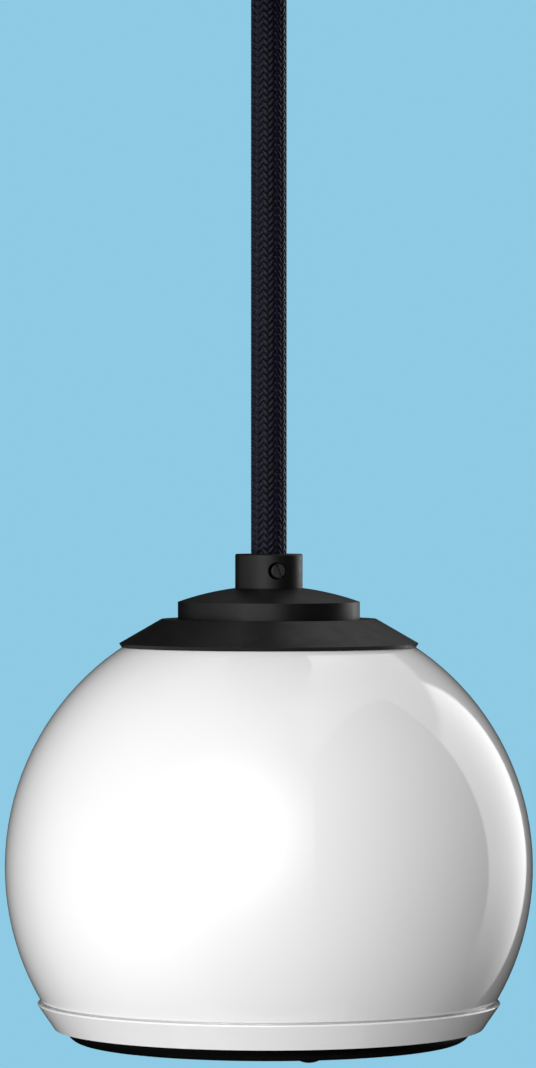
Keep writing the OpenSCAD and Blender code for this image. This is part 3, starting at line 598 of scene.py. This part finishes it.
# Upright edges as turns in degrees: at the horizon, then per degree of rise squared, then per degree of rise
BOX_END = (19.5, 0.0025, 0.0)
BOX_FAR_END = (-123, -0.011, 0.0)
PANEL_END = (110.5, 0.0, 0.0)
STRIP_END = (152, -0.012, 0.12)
ROOM_END = (156, 0.0, 0.0)
# The dark panel's upper edge, an arch: turn and rise of its top, and its fall
ARCH_TURN, ARCH_RISE, ARCH_FALL = 72, 61.5, -0.0055
BASE_GLOW, BOX_GLOW, PANEL_GLOW = 0.01, 0.09, 0.05
CEILING_LEFT, CEILING_RIGHT = 0.35, 0.8
# The bright strip grows from its near strength to its far one between two turns
STRIP_NEAR, STRIP_FAR, STRIP_FROM, STRIP_TO = 1.8, 2.4, 110, 150
# Rises from which and to which each part shines, and how soft its two ends are, in degrees
BOX_RISES = (-60, 56, 2, 2)
CEILING_LEFT_RISES = (56, 78, 6, 4)
PANEL_RISES = (-60, 70, 2, 2)
CEILING_RIGHT_RISES = (34, 78, 2, 4)
STRIP_RISES = (-15, 34, 17, 2)
# How soft the upright edges are, in degrees
FAR_SOFT, ARCH_SOFT, STRIP_SOFT, ROOM_SOFT = 2.0, 1.2, 1.5, 6.0
# Half the floor's side, and its depth below the origin
FLOOR_HALF, FLOOR_DROP = 1.2, 2.4


def studio_world():
    """Plain pale blue behind the object, and a white studio round it for light and reflections."""
    world = bpy.data.worlds.new("studio")
    bpy.context.scene.world = world
    world.use_nodes = True
    tree = world.node_tree
    tree.nodes.clear()
    towards = add(tree, "TexCoord").outputs["Generated"]
    x, y, z = add(tree, "SeparateXYZ", towards).outputs
    front = add(tree, "Math", y, -1.0, operation="MULTIPLY")
    turn = add(tree, "Math", add(tree, "Math", x, front, operation="ARCTAN2"), operation="DEGREES")
    rise = add(tree, "Math", add(tree, "Math", z, operation="ARCSINE"), operation="DEGREES")

    def product(first, *others):
        for other in others:
            first = add(tree, "Math", first, other, operation="MULTIPLY")
        return first

    def total(first, *others):
        for other in others:
            first = add(tree, "Math", first, other, operation="ADD")
        return first

    def past(value, edge, soft=1.0, sides=(0.0, 1.0)):
        """From nought to one where a value goes past an edge, within soft degrees to each side of it."""
        over = add(tree, "Math", value, edge, operation="SUBTRACT")
        return add(tree, "MapRange", over, -soft, soft, *sides, **SMOOTH)

    def short_of(value, edge, soft=1.0):
        return past(value, edge, soft, (1.0, 0.0))

    def between(low, high, soft_low, soft_high):
        """One at the rises between low and high."""
        return product(past(rise, low, soft_low), short_of(rise, high, soft_high))

    def upright(base, square, line):
        """The turn of an upright edge, which leans and bends with the rise."""
        return total(base, product(rise, rise, square), product(rise, line))

    def light(turns, rises, width, power):
        """A soft round light."""
        a, e = math.radians(turns), math.radians(rises)
        middle = (math.cos(e) * math.sin(a), -math.cos(e) * math.cos(a), math.sin(e))
        cosine = add(tree, "VectorMath", towards, middle, operation="DOT_PRODUCT").outputs["Value"]
        angle = add(tree, "Math", add(tree, "Math", cosine, operation="ARCCOSINE"), operation="DEGREES")
        return add(tree, "MapRange", angle, 0.0, width, power, 0.0, **SMOOTH)

    box_end, panel_end, strip_end = upright(*BOX_END), upright(*PANEL_END), upright(*STRIP_END)
    on_left = product(past(turn, upright(*BOX_FAR_END), FAR_SOFT), short_of(turn, box_end))
    on_right = product(past(turn, box_end), short_of(turn, upright(*ROOM_END), ROOM_SOFT))
    from_top = add(tree, "Math", turn, ARCH_TURN, operation="SUBTRACT")
    arch = total(ARCH_RISE, product(from_top, from_top, ARCH_FALL))
    panel = product(short_of(rise, arch, ARCH_SOFT), short_of(turn, panel_end))
    off_panel = add(tree, "Math", 1.0, panel, operation="SUBTRACT")
    strip = product(past(turn, panel_end), short_of(turn, strip_end, STRIP_SOFT), between(*STRIP_RISES))
    strip_glow = add(tree, "MapRange", turn, STRIP_FROM, STRIP_TO, STRIP_NEAR, STRIP_FAR, **SMOOTH)
    glow = total(
        BASE_GLOW,
        product(total(*[light(*values) for values in BOX_LIGHTS]), short_of(turn, box_end)),
        product(on_left, between(*BOX_RISES), BOX_GLOW),
        product(on_left, between(*CEILING_LEFT_RISES), CEILING_LEFT),
        product(past(turn, box_end), panel, between(*PANEL_RISES), PANEL_GLOW),
        product(on_right, off_panel, between(*CEILING_RIGHT_RISES), CEILING_RIGHT),
        product(strip, strip_glow),
        *[light(*values) for values in BACK_LIGHTS])
    studio = add(tree, "Background", (1, 1, 1, 1), glow)
    sky = add(tree, "Background", linear(SKY), 1.0)
    mix = add(tree, "MixShader", add(tree, "LightPath").outputs["Is Camera Ray"], studio, sky)
    connect(tree, mix, add(tree, "OutputWorld").inputs["Surface"])


def floor():
    """A plain pale floor, well below the hanging object."""
    mesh = bpy.data.meshes.new("floor")
    corners = [(-1, -1), (1, -1), (1, 1), (-1, 1)]
    mesh.from_pydata([(x * FLOOR_HALF, y * FLOOR_HALF, -FLOOR_DROP) for x, y in corners], [], [(0, 1, 2, 3)])
    piece = bpy.data.objects.new("floor", mesh)
    bpy.context.collection.objects.link(piece)
    mat, tree, shader = material("pale_floor", "#d8d8d6", 0.8)
    vary_colour(tree, shader, grain(tree, 200 * MM), "#d5d5d3", "#dadad8")
    mesh.materials.append(mat)


def main():
    photo_camera()
    braided_cord(braided_textile())
    for make, nodes in LOOKS.items():
        mat = make()
        for node in nodes:
            dress(node, mat)
    soft_parts(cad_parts["voice_coil"].data.materials[0])
    red = insulation("red_insulation", "#a3161a")
    black = insulation("black_insulation", "#17171a")
    dress("inner_lead_red", red)
    dress("cup_leads", red)
    dress("inner_lead_black", black)
    studio_world()
    floor()
    bpy.context.scene.view_settings.view_transform = "Standard"


main()
